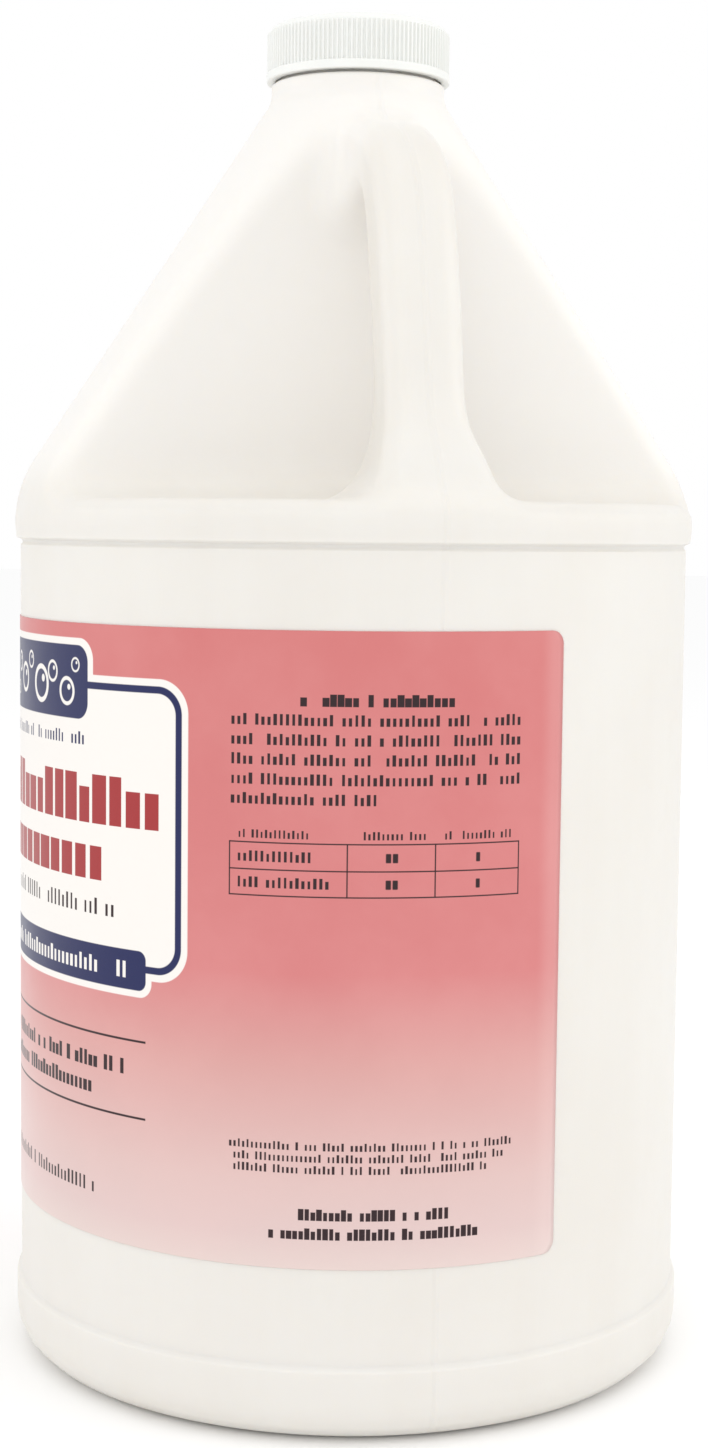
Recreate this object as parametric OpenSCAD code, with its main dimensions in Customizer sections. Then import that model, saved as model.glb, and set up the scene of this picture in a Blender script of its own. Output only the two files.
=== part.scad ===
// Round handled bottle of about one gallon, with a ribbed screw cap on a
// continuous-thread neck, a foam liner in the cap and a wrap-round label.
// Millimetres. The origin is the middle of the foot, +Z is up and the handle
// points along +X.

/* [Bottle] */
// Diameter of the straight panel that carries the label
panel_d = 152.4; // [110:0.2:200]
// Height of the bottle, from the foot to the lip of the neck
lip_h = 299.1; // [230:0.1:400]
// Wall thickness of the blown body
wall = 1.2; // [0.9:0.1:2.6]
// How far the band at the shoulder stands out from the panel
band_out = 1.2; // [0.4:0.1:4]
// How far the roll at the foot stands out from the panel
foot_out = 1.0; // [0.4:0.1:4]
// Radius of the heel, between the foot roll and the ground
heel_r = 9.5; // [4:0.5:14]
// Height that the middle of the base is pushed up
push_up = 4.5; // [1:0.5:12]
// Height of the cone between the band and the neck bead
cone_h = 87.4; // [60:0.1:120]
// Height of the band below the cone
band_h = 11.3; // [6:0.1:30]
// Height of the roll at the foot
foot_z = 16.3; // [14:0.1:40]
// Height of the small steps above and below the panel
step_h = 1.0; // [0.5:0.1:4]

/* [Handle] */
// Width of the handle bar, side to side
bar_w = 17.2; // [12:0.2:26]
// Radius of the long edges of the handle bar
bar_edge_r = 4.5; // [2:0.5:7]
// Distance from the bottle's axis to the wall behind the handle
back_x = 20.8; // [14:0.2:30]
// Depth of the recess floor below the foot of the cone
ledge_drop = 2.6; // [1:0.1:8]
// Radius of the cove between the recess wall and its floor
cove_r = 9; // [3:0.5:14]

/* [Neck and thread] */
// Outside diameter of the neck thread
thread_d = 37.3; // [30:0.1:50]
// Thread pitch, crest to crest
pitch = 4.233; // [3:0.001:6]
// How far the thread stands out from the neck
thread_h = 1.2; // [0.6:0.1:1.8]
// Turns of thread on the neck
neck_turns = 1.3; // [1:0.1:1.6]
// Wall thickness of the neck
neck_wall = 2.45; // [1.5:0.05:4]
// Height of the neck, from the top of its bead to the lip
finish_h = 10.6; // [9:0.1:20]
// Height of the bead below the cap
bead_h = 4.1; // [2:0.1:8]
// How far the bead stands out from the thread
bead_out = 0.95; // [0.3:0.05:3]

/* [Cap] */
// Radial clearance between the cap and the neck
cap_gap = 0.3; // [0.2:0.05:0.6]
// Thickness of the cap's skirt behind the ribs
skirt_t = 1.3; // [1:0.1:2.5]
// Thickness of the top of the cap
cap_top_t = 1.2; // [0.8:0.1:3]
// Number of grip ribs round the cap
ribs = 120; // [40:4:160]
// Height of each rib above the skirt
rib_h = 0.45; // [0.2:0.05:1]
// Turns of thread inside the cap
cap_turns = 1.1; // [0.8:0.1:1.4]
// Height of the plain rim below the ribs
rim_h = 2.0; // [1:0.1:4]
// Gap between the cap's rim and the bead of the neck
rim_gap = 0.6; // [0.3:0.1:2]
// Thickness of the foam liner
liner_t = 1.0; // [0.6:0.1:2]
// Gap round the liner, between it and the cap's skirt
liner_gap = 0.3; // [0.1:0.05:1]

/* [Label] */
// Angle that the label wraps round the panel, in degrees
label_wrap = 198; // [60:1:340]
// Direction of the middle of the label, in degrees from the handle
label_mid = -78.4; // [-180:0.1:180]
// Bare panel left below the label
label_low = 20.4; // [5:0.1:60]
// Bare panel left above the label
label_high = 16.5; // [5:0.1:60]
// Radius of the label's corners
label_corner_r = 2.8; // [0:0.1:10]
// Thickness of the label
label_t = 0.2; // [0.1:0.05:0.5]

/* [Hidden] */

round_n = 6;                          // steps in each rounded corner
panel_r = panel_d / 2;
band_r = panel_r + band_out;
foot_r = panel_r + foot_out;

// the neck and the cone hang from the lip, so the panel takes up lip_h
neck_r = thread_d / 2 - thread_h;     // wall of the neck under the thread
bore_r = neck_r - neck_wall;
bead_r = thread_d / 2 + bead_out;
bead_z1 = lip_h - finish_h;           // top of the bead below the cap
bead_z0 = bead_z1 - bead_h;           // where the cone meets the bead
cone_z0 = bead_z0 - cone_h;           // where the band turns into the cone
band_z0 = cone_z0 - band_h;           // top of the step under the band
ledge_z = cone_z0 - ledge_drop;       // floor of the recess behind the handle

// cap, from the lip upwards and from the thread outwards
cap_in_r = thread_d / 2 + cap_gap;
cap_r = cap_in_r + skirt_t;
rib_r = cap_r + rib_h;
rim_r = rib_r + 0.15;
cap_z0 = bead_z1 + rim_gap;
cap_roof_z = lip_h + liner_t;
cap_z1 = cap_roof_z + cap_top_t;
cap_edge_r = 1.8;                     // rounding of the cap's top edge

label_z0 = foot_z + step_h + label_low;
label_z1 = band_z0 - step_h - label_high;

// ---- small functions ---------------------------------------------------

function unit(v) = v / norm(v);
function left(v) = [-v[1], v[0]];

// a corner b between a and c, rounded with radius r in n steps
function corner(a, b, c, r, n) =
    let (u = unit(a - b), v = unit(c - b))
    let (half = acos(max(-1, min(1, u * v))) / 2)
    let (d = r / tan(half), m = b + unit(u + v) * r / sin(half))
    let (p = b + u * d, q = b + v * d)
    let (a0 = atan2(p[1] - m[1], p[0] - m[0]))
    let (raw = atan2(q[1] - m[1], q[0] - m[0]) - a0)
    let (sweep = raw > 180 ? raw - 360 : raw < -180 ? raw + 360 : raw)
    [for (i = [0 : n]) m + r * [cos(a0 + sweep * i / n), sin(a0 + sweep * i / n)]];

// a list of [x, z, radius] drawn with each corner rounded
function rounded(p) =
    [for (i = [0 : len(p) - 1])
        let (b = [p[i][0], p[i][1]], r = p[i][2])
        let (j = max(i - 1, 0), k = min(i + 1, len(p) - 1))
        each (r <= 0 || i == 0 || i == len(p) - 1)
            ? [b]
            : corner([p[j][0], p[j][1]], b, [p[k][0], p[k][1]], r, round_n)];

// the same list moved w to the left of its direction of travel, with each
// radius eased so that the wall keeps its thickness round the corner
function inset(p, w) =
    [for (i = [0 : len(p) - 1])
        let (b = [p[i][0], p[i][1]])
        let (a = i == 0 ? b - ([p[1][0], p[1][1]] - b) : [p[i - 1][0], p[i - 1][1]])
        let (c = i == len(p) - 1 ? b + (b - a) : [p[i + 1][0], p[i + 1][1]])
        let (n1 = left(unit(b - a)), n2 = left(unit(c - b)))
        let (turn = cross(b - a, c - b))
        let (q = b + w * (n1 + n2) / (1 + n1 * n2))
        [q[0], q[1], p[i][2] <= 0 ? 0 : max(0.4, p[i][2] - sign(turn) * w)]];

// ---- bottle ------------------------------------------------------------

// outside of the body from the base to the bead, anticlockwise
body_line = [
    [50, push_up, 4],
    [60, 0, 2],
    [foot_r, 0, heel_r],
    [foot_r, foot_z, 1],
    [panel_r, foot_z + step_h, 1],
    [panel_r, band_z0 - step_h, 0.6],
    [band_r, band_z0, 0.8],
    [band_r, cone_z0, 4],
    [bead_r + 0.1, bead_z0, 2]];

module body_outside() {
    rotate_extrude($fn = 180)
        polygon(concat(
            [[0, push_up]],
            rounded(concat([[0, push_up, 0]], body_line, [[bead_r, bead_z1, 0.6]])),
            [[neck_r, bead_z1], [neck_r, lip_h - 0.5], [neck_r - 0.5, lip_h]],
            [[0, lip_h]]));
}

// inside of the body, one wall in from the outside, and the bore of the neck
module body_inside() {
    line = inset(concat([[0, push_up, 0]], body_line), wall);
    low = [for (i = [1 : len(line) - 2]) line[i]];
    slope = (bead_r - band_r) / cone_h;
    last = line[len(line) - 1];
    mouth_z = last[1] + (bore_r - last[0]) / slope;
    rotate_extrude($fn = 180)
        polygon(concat(
            [[0, push_up + wall]],
            rounded(concat([[0, push_up + wall, 0]], low,
                [[bore_r, mouth_z, 3], [bore_r, lip_h + 1, 0]])),
            [[0, lip_h + 1]]));
}

// recess behind the handle, g larger all round, with a rounded foot
module recess(g) {
    cove = cove_r + g;
    x0 = back_x - g;
    z0 = ledge_z - g;
    difference() {
        translate([x0, -2 * panel_r, z0])
            cube([2 * panel_r, 4 * panel_r, cone_h + 30]);
        difference() {
            translate([x0 - 1, -2 * panel_r - 1, z0 - 1])
                cube([cove + 1, 4 * panel_r + 2, cove + 1]);
            translate([x0 + cove, 0, z0 + cove])
                rotate([90, 0, 0])
                    cylinder(r = cove, h = 4 * panel_r + 4, center = true, $fn = 90);
        }
    }
}

// Handle sections from the neck to the ledge. Each one is
// [x outside, z outside, x inside, z inside, half width], where x is a share
// of the band's radius, z of the cone's height above the band, and the half
// width is in half bar widths.
bar_sections = [
    [0.120, 0.975, 0.150, 0.560, 1.30],
    [0.230, 0.945, 0.230, 0.640, 1.15],
    [0.375, 0.908, 0.335, 0.720, 1.02],
    [0.505, 0.866, 0.418, 0.735, 1.00],
    [0.610, 0.800, 0.470, 0.690, 1.00],
    [0.677, 0.715, 0.507, 0.625, 1.00],
    [0.728, 0.580, 0.543, 0.520, 1.00],
    [0.765, 0.445, 0.577, 0.400, 1.00],
    [0.792, 0.325, 0.600, 0.290, 1.00],
    [0.812, 0.215, 0.608, 0.195, 1.00],
    [0.846, 0.130, 0.600, 0.115, 1.08],
    [0.905, 0.060, 0.570, 0.050, 1.35],
    [0.985, 0.005, 0.520, -0.005, 1.85],
    [1.020, -0.060, 0.470, -0.060, 2.10]];

function smooth(a, b, c, d, t) =
    0.5 * (2 * b + (c - a) * t + (2 * a - 5 * b + 4 * c - d) * t * t
        + (3 * b - a - 3 * c + d) * t * t * t);

// the sections again with extra ones between them on a smooth curve
function blended(s, n) =
    [for (i = [0 : len(s) - 2], k = [0 : n - 1])
        smooth(s[max(i - 1, 0)], s[i], s[i + 1], s[min(i + 2, len(s) - 1)], k / n),
     s[len(s) - 1]];

// one section as a ring of points, w inside the outer skin
function bar_ring(s, w, n) =
    let (o = [s[0] * band_r, cone_z0 + s[1] * cone_h])
    let (i = [s[2] * band_r, cone_z0 + s[3] * cone_h])
    let (u = unit(i - o), a = o + u * w, b = i - u * w)
    let (hw = s[4] * bar_w / 2 - w, r = max(0.8, bar_edge_r - w))
    let (depth = norm(b - a))
    [for (q = [0 : 3], k = [0 : n - 1])
        let (ang = 90 * q + 90 * k / (n - 1))
        let (cx = (q == 0 || q == 3) ? depth - r : r)
        let (cy = (q == 0 || q == 1) ? hw - r : r - hw)
        let (d = cx + r * cos(ang), y = cy + r * sin(ang))
        [a[0] + u[0] * d, -y, a[1] + u[1] * d]];

// closed solid through a list of rings with the same number of points
module loft(rings) {
    m = len(rings[0]);
    n = len(rings);
    sides = [for (i = [0 : n - 2], j = [0 : m - 1]) each
        [[i * m + j, i * m + (j + 1) % m, (i + 1) * m + j],
         [i * m + (j + 1) % m, (i + 1) * m + (j + 1) % m, (i + 1) * m + j]]];
    start = [[for (j = [m - 1 : -1 : 0]) j]];
    end = [[for (j = [0 : m - 1]) (n - 1) * m + j]];
    polyhedron([for (r = rings) each r], concat(start, sides, end));
}

// the handle bar, w inside its outer skin, kept a little inside the band
bar_inset = 1.5;
module bar(w) {
    intersection() {
        loft([for (s = blended(bar_sections, 3)) bar_ring(s, w, 4)]);
        cylinder(r = band_r - bar_inset - w, h = lip_h, $fn = 180);
    }
}

// A helical ridge. r0 is the radius of its foot, r1 of its crest, wide is its
// width at the foot; it fades out over the first and last sixth of a turn.
module ridge(r0, r1, wide, turns, z0) {
    steps = 24 * turns;
    crest = wide * 0.45;
    loft([for (i = [0 : steps])
        let (ang = 360 * i / 24, z = z0 + pitch * i / 24)
        let (f = max(0.12, min(1, i / 4, (steps - i) / 4)))
        let (r = r0 + (r1 - r0) * f, s = r1 > r0 ? 1 : -1)
        [for (p = [[r0, -wide / 2], [r, -crest / 2], [r, crest / 2], [r0, wide / 2]])
            [p[0] * cos(ang), p[0] * sin(ang), z + s * p[1]]]]);
}

neck_thread_z = lip_h - 8.2;          // where the neck's thread starts
neck_thread_w = pitch * 0.56;
cap_thread_w = pitch * 0.40;

module bottle() {
    color("ivory")
        difference() {
            union() {
                difference() {
                    body_outside();
                    recess(0);
                }
                bar(0);
                ridge(neck_r - 0.4, thread_d / 2, neck_thread_w, neck_turns, neck_thread_z);
            }
            difference() {
                body_inside();
                recess(wall);
            }
            bar(wall);
        }
}

// ---- cap ---------------------------------------------------------------

// outside of the cap to radius r, with its top edge rounded
module cap_blank(r, z0) {
    rotate_extrude($fn = 180)
        polygon(concat(
            [[0, z0]],
            rounded([[0, z0, 0], [r, z0, 0.3], [r, cap_z1, cap_edge_r], [0, cap_z1, 0]])));
}

// a round prism with one trapezoid rib per step, from the rim to the top edge
module rib_prism() {
    step = 360 / ribs;
    rib_z0 = cap_z0 + rim_h / 2;
    rib_z1 = cap_z1 - cap_edge_r + 0.2;
    translate([0, 0, rib_z0])
        linear_extrude(height = rib_z1 - rib_z0)
            polygon([for (i = [0 : ribs - 1]) each
                [for (p = [[-0.32, cap_r - 0.1], [-0.14, rib_r], [0.14, rib_r], [0.32, cap_r - 0.1]])
                    p[1] * [cos(step * (i + p[0])), sin(step * (i + p[0]))]]]);
}

module cap() {
    color("white")
        union() {
            difference() {
                union() {
                    cap_blank(cap_r, cap_z0);
                    rib_prism();
                    rotate_extrude($fn = 180)
                        polygon(rounded([[0, cap_z0, 0], [rim_r, cap_z0, 0.3],
                            [rim_r, cap_z0 + rim_h, 0.5], [0, cap_z0 + rim_h, 0]]));
                }
                translate([0, 0, cap_z0 - 1])
                    cylinder(r = cap_in_r, h = cap_roof_z - cap_z0 + 1, $fn = 120);
            }
            // the cap's ridge lies half a pitch below the neck's
            intersection() {
                rotate([0, 0, 180])
                    ridge(cap_in_r + 0.3, neck_r + cap_gap, cap_thread_w, cap_turns,
                        neck_thread_z);
                translate([0, 0, cap_z0])
                    cylinder(r = cap_in_r + 0.5, h = cap_roof_z - cap_z0, $fn = 120);
            }
        }
}

module cap_liner() {
    color("gainsboro")
        translate([0, 0, lip_h])
            cylinder(r = cap_in_r - liner_gap, h = liner_t, $fn = 120);
}

// ---- label -------------------------------------------------------------

// what is cut away at a corner of the label, with the corner at the origin
module corner_cut(r) {
    translate([-4, -0.02, -0.02])
        rotate([90, 0, 90])
            linear_extrude(height = 8)
                polygon(concat(
                    [[-1, r], [-1, -1], [r, -1]],
                    [for (a = [0 : 15 : 90]) [r - r * sin(a), r - r * cos(a)]]));
}

module label() {
    mid_z = (label_z0 + label_z1) / 2;
    half_z = (label_z1 - label_z0) / 2;
    color("mistyrose")
        rotate([0, 0, label_mid - label_wrap / 2])
            difference() {
                rotate_extrude(angle = label_wrap, $fn = 180)
                    translate([panel_r, label_z0])
                        square([label_t, 2 * half_z]);
                for (e = [0, 1], s = [-1, 1])
                    rotate([0, 0, e * label_wrap])
                        translate([panel_r, 0, mid_z + s * half_z])
                            scale([1, e == 0 ? 1 : -1, -s])
                                corner_cut(label_corner_r);
            }
}

bottle();
cap();
cap_liner();
label();
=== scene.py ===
import math
import bpy
import numpy as np
from mathutils import Matrix, Vector


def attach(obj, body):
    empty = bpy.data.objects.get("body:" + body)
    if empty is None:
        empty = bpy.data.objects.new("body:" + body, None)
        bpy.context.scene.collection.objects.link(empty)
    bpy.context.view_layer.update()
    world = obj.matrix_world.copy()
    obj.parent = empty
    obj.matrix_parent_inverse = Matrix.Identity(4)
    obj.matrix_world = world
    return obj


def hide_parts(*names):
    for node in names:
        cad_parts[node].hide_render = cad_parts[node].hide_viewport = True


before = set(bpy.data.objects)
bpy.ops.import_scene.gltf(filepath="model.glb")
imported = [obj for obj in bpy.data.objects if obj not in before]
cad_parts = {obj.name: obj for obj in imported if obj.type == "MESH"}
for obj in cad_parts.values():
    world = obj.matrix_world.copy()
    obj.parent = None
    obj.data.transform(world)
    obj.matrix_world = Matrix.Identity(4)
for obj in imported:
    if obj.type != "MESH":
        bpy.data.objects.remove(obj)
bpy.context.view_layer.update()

MM = 0.001

# ---------------------------------------------------------------- sizes, mm
PANEL_R = 76.2          # label panel
BAND_R = 77.4           # shoulder band
FOOT_R = 77.2           # roll at the foot
WALL = 1.2
MIDDLE_R, MIDDLE_Z = 14.0, 4.9      # top of the pushed-up base
DISH_R, DISH_Z = 49.0, 4.5          # where the push-up turns down
RING_IN, RING_R, RING_OUT = 58.5, 61.5, 66.5        # standing ring
RING_LIFT = 0.35                    # height of the ring's inner edge
HEEL_R = 9.5                        # rounding of the heel
RIDGE_H, RIDGE_R, RIDGE_FADE = 0.4, 60.0, 4.0       # parting-line ridge under the base
FOOT_Z = 16.3           # top of the foot roll
STEP_Z = 185.7          # top of the step under the band
CONE_Z = 197.0          # band turns into the cone
CONE_SLOPE = 0.6602     # radius lost for each mm of height
LEDGE_Z = 194.4         # floor of the recess behind the handle
BACK_X = 20.8           # wall behind the handle
BEAD_R, BEAD_LOW, BEAD_HIGH = 19.6, 284.4, 288.5
NECK_R, BORE_R, LIP_Z = 17.45, 15.0, 299.1
FUNNEL_R = 16.9         # inside, where the shoulder opens out below the bore
THREAD_OUT, PITCH, THREAD_TURNS = 1.2, 4.233, 1.3
THREAD_FOOT = 0.56 * PITCH          # width of the ridge where it meets the neck
THREAD_FLANK = 0.62                 # width of each of its sloping sides
THREAD_FADE = 1 / 6                 # turns over which each end runs out
THREAD_Z = LIP_Z - 8.2
BAR_HALF, BAR_EDGE = 8.6, 4.5       # handle's half width and the rounding of its edges
BAR_INSET = 0.6                     # how far the handle stays inside the band
LABEL_LOW, LABEL_HIGH = 37.7, 168.2
LABEL_T, LABEL_CORNER = 0.2, 2.8
LABEL_MID, LABEL_WRAP = math.radians(-78.4), math.radians(198)
LABEL_TALL = LABEL_HIGH - LABEL_LOW
LINER_R, LINER_T = 18.63, 1.0
LINER_MIDDLE, LINER_ROUND = 4.0, 0.22
AROUND = 256            # points round the turned parts
LINER_AROUND = 128      # points round the liner
CELL_OUT, CELL_IN = 1.3, 2.4        # grids of the blended shoulder, outside and inside
GRID_SHIFT = 0.013                  # keeps the grid's planes off the handle's plane
ZONE_LOW, ZONE_HIGH = 191.2, 286.0  # heights between which the shoulder is blended
ZONE_JOIN = 0.7                     # gap closed by triangles below the zone
NECK_JOIN = 0.3                     # and above it

# how far the shoulder's surfaces run into each other
BAND_BLEND, BEAD_BLEND, LEDGE_BLEND, RECESS_BLEND = 4.5, 1.2, 11.0, 4.0
BAR_TOP_BLEND, BAR_BLEND = 3.0, 7.0
# below the bead, the height over which the recess and the handle fade out, and how steeply
RECESS_FADE, RECESS_STEEP = 4.0, 1.5
BAR_FADE, BAR_STEEP = 3.5, 2.0

# handle sections, as shares of the band radius and of the cone height:
# x and z outside, x and z inside, half width in half bar widths
BAR = np.array([
    [0.120, 0.975, 0.150, 0.560, 1.30],
    [0.230, 0.945, 0.230, 0.640, 1.15],
    [0.375, 0.908, 0.335, 0.720, 1.02],
    [0.505, 0.866, 0.418, 0.735, 1.00],
    [0.610, 0.800, 0.470, 0.690, 1.00],
    [0.677, 0.715, 0.507, 0.625, 1.00],
    [0.728, 0.580, 0.543, 0.520, 1.00],
    [0.765, 0.445, 0.577, 0.400, 1.00],
    [0.792, 0.325, 0.600, 0.290, 1.00],
    [0.812, 0.215, 0.608, 0.195, 1.00],
    [0.846, 0.130, 0.600, 0.115, 1.06],
    [0.900, 0.060, 0.575, 0.050, 1.25],
    [0.965, 0.005, 0.530, -0.005, 1.55],
    [0.975, -0.060, 0.470, -0.060, 1.80]])


# ---------------------------------------------------------------- mesh tools
def make_object(name, verts, faces):
    """A smooth-shaded object from points in mm."""
    mesh = bpy.data.meshes.new(name)
    mesh.from_pydata([tuple(v) for v in np.asarray(verts) * MM], [], faces)
    mesh.validate()
    mesh.polygons.foreach_set("use_smooth", [True] * len(mesh.polygons))
    mesh.update()
    obj = bpy.data.objects.new(name, mesh)
    bpy.context.scene.collection.objects.link(obj)
    return obj


class Builder:
    """Collects rings and patches of points into one mesh."""

    def __init__(self):
        self.verts, self.faces, self.count = [], [], 0

    def add(self, pts):
        pts = np.asarray(pts, float)
        self.verts.append(pts)
        first = self.count
        self.count += len(pts)
        return np.arange(first, first + len(pts))

    def ring(self, radius, z, n=AROUND):
        """radius and z may be numbers or one value for each point round."""
        a = np.arange(n) * 2 * math.pi / n
        r = np.broadcast_to(radius, n)
        return self.add(np.stack([r * np.cos(a), r * np.sin(a), np.broadcast_to(z, n)], 1))

    def strip(self, low, high, flip=False):
        """Quads between two rings of the same size, outward when low is below high."""
        n = len(low)
        for i in range(n):
            j = (i + 1) % n
            quad = (low[i], low[j], high[j], high[i])
            self.faces.append(quad[::-1] if flip else quad)

    def cap(self, ring, centre, flip=False):
        """A fan to one point; it faces down unless flip."""
        c = self.add([centre])[0]
        n = len(ring)
        for i in range(n):
            tri = (c, ring[(i + 1) % n], ring[i])
            self.faces.append(tri[::-1] if flip else tri)

    def zipper(self, low, high, flip=False):
        """Triangles between two rings with different numbers of points."""
        pts = np.vstack(self.verts)

        def by_angle(ids):
            a = np.arctan2(pts[ids, 1], pts[ids, 0])
            k = np.argsort(a)
            return np.asarray(ids)[k], a[k]
        lo, la = by_angle(low)
        hi, ha = by_angle(high)
        i = j = 0
        while i < len(lo) or j < len(hi):
            next_lo = la[i + 1] if i + 1 < len(lo) else la[0] + 2 * math.pi
            next_hi = ha[j + 1] if j + 1 < len(hi) else ha[0] + 2 * math.pi
            a, b = lo[i % len(lo)], hi[j % len(hi)]
            if j >= len(hi) or (i < len(lo) and next_lo <= next_hi):
                tri = (a, lo[(i + 1) % len(lo)], b)
                i += 1
            else:
                tri = (hi[(j + 1) % len(hi)], b, a)
                j += 1
            self.faces.append(tri[::-1] if flip else tri)

    def object(self, name):
        faces = [tuple(int(k) for k in f) for f in self.faces]
        return make_object(name, np.vstack(self.verts), faces)


def fillet(points, steps=6):
    """A line of (x, z, radius) with each corner rounded, as an array of (x, z)."""
    out = []
    for i, (x, z, r) in enumerate(points):
        b = np.array([x, z])
        if r <= 0 or i in (0, len(points) - 1):
            out.append(b)
            continue
        u = np.array(points[i - 1][:2]) - b
        v = np.array(points[i + 1][:2]) - b
        u, v = u / np.linalg.norm(u), v / np.linalg.norm(v)
        half = math.acos(np.clip(u @ v, -1, 1)) / 2
        if half > math.pi / 2 - 0.01:
            out.append(b)
            continue
        mid = b + (u + v) / np.linalg.norm(u + v) * r / math.sin(half)
        p, q = b + u * r / math.tan(half) - mid, b + v * r / math.tan(half) - mid
        for k in range(steps + 1):
            w = p * (1 - k / steps) + q * (k / steps)
            out.append(mid + w / np.linalg.norm(w) * r)
    return np.array(out)


def spread(line, gap):
    """The same line with extra points, so that none are further apart than gap."""
    out = [line[0]]
    for a, b in zip(line[:-1], line[1:]):
        n = max(1, math.ceil(np.linalg.norm(b - a) / gap))
        out += [a + (b - a) * k / n for k in range(1, n + 1)]
    return np.array(out)


# ------------------------------------------------- blended shoulder and handle
def smooth_min(a, b, k):
    """The lower of a and b, rounded where they are less than k apart."""
    h = np.maximum(k - np.abs(a - b), 0) / k
    return np.minimum(a, b) - h * h * k / 4


def smooth_max(a, b, k):
    return -smooth_min(-a, -b, k)


def curve_through(rows, n):
    """A smooth curve through the rows, n points to each stretch."""
    out = []
    for i in range(len(rows) - 1):
        a, b = rows[max(i - 1, 0)], rows[i]
        c, d = rows[i + 1], rows[min(i + 2, len(rows) - 1)]
        for k in range(n):
            t = k / n
            out.append(0.5 * (2 * b + (c - a) * t + (2 * a - 5 * b + 4 * c - d) * t ** 2
                              + (3 * b - a - 3 * c + d) * t ** 3))
    return np.array(out + [rows[-1]])


def bar_path():
    """The handle's middle line in its plane, with its half depth and half width along it."""
    height = BEAD_LOW - CONE_Z
    s = curve_through(BAR, 8)
    outer = np.stack([s[:, 0] * BAND_R, CONE_Z + s[:, 1] * height], 1)
    inner = np.stack([s[:, 2] * BAND_R, CONE_Z + s[:, 3] * height], 1)
    return (outer + inner) / 2, np.linalg.norm(outer - inner, axis=1) / 2, s[:, 4] * BAR_HALF


PATH, PATH_DEPTH, PATH_WIDTH = bar_path()


def bar_map():
    """The plane of the handle as a fine grid: distance from the bar's middle line, and the bar's half
    depth and half width at the nearest point of that line, averaged so that they change smoothly."""
    x, z = np.meshgrid(MAP_X, MAP_Z, indexing="ij")
    p = np.stack([x, z], -1)
    gap = np.full(x.shape, 1e9)
    depth, width, total = np.zeros(x.shape), np.zeros(x.shape), np.zeros(x.shape)
    for k, d in enumerate(PATH[1:] - PATH[:-1]):
        t = np.clip(((p - PATH[k]) @ d) / (d @ d), 0, 1)
        far = np.linalg.norm(p - PATH[k] - t[..., None] * d, axis=-1)
        gap = np.minimum(gap, far)
        weight = (far + 1.0) ** -6 * np.linalg.norm(d)
        depth += weight * (PATH_DEPTH[k] * (1 - t) + PATH_DEPTH[k + 1] * t)
        width += weight * (PATH_WIDTH[k] * (1 - t) + PATH_WIDTH[k + 1] * t)
        total += weight
    return np.stack([gap, depth / total, width / total])


MAP_STEP = 0.5          # mm between the map's grid points
MAP_X = np.arange(-BAND_R - 4, BAND_R + 4, MAP_STEP)
MAP_Z = np.arange(ZONE_LOW - 6, ZONE_HIGH + 6, MAP_STEP)
BAR_MAP = bar_map()


def near_bar(x, z):
    """Distance, half depth and half width from the map, blended between its grid points."""
    u = np.clip((x - MAP_X[0]) / MAP_STEP, 0, len(MAP_X) - 1.001)
    v = np.clip((z - MAP_Z[0]) / MAP_STEP, 0, len(MAP_Z) - 1.001)
    i, j = u.astype(int), v.astype(int)
    u, v = u - i, v - j
    low = BAR_MAP[:, i, j] * (1 - u) + BAR_MAP[:, i + 1, j] * u
    high = BAR_MAP[:, i, j + 1] * (1 - u) + BAR_MAP[:, i + 1, j + 1] * u
    return low * (1 - v) + high * v


def shoulder_field(x, y, z, bar):
    """Signed distance to the outer skin, about true near it; bar comes from near_bar."""
    rho = np.hypot(x, y)
    lean = 1 / math.hypot(1, CONE_SLOPE)
    cone = (rho - (BAND_R - CONE_SLOPE * (z - CONE_Z))) * lean
    body = smooth_max(cone, rho - BAND_R, BAND_BLEND)
    body = smooth_min(body, rho - BEAD_R, BEAD_BLEND)
    recess = smooth_min(x - BACK_X, z - LEDGE_Z, LEDGE_BLEND)
    recess = recess - RECESS_STEEP * np.maximum(z - (BEAD_LOW - RECESS_FADE), 0)
    body = smooth_max(body, recess, RECESS_BLEND)
    gap, depth, width = bar
    qx, qy = gap - depth + BAR_EDGE, np.abs(y) - width + BAR_EDGE
    edge = np.hypot(np.maximum(qx, 0), np.maximum(qy, 0)) - BAR_EDGE
    rod = edge + np.minimum(np.maximum(qx, qy), 0)
    rod = smooth_max(rod, rho - (BAND_R - BAR_INSET), BAR_TOP_BLEND)
    rod = rod + BAR_STEEP * np.maximum(z - (BEAD_LOW - BAR_FADE), 0)
    return np.maximum(smooth_min(body, rod, BAR_BLEND), rho - BAND_R)


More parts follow.
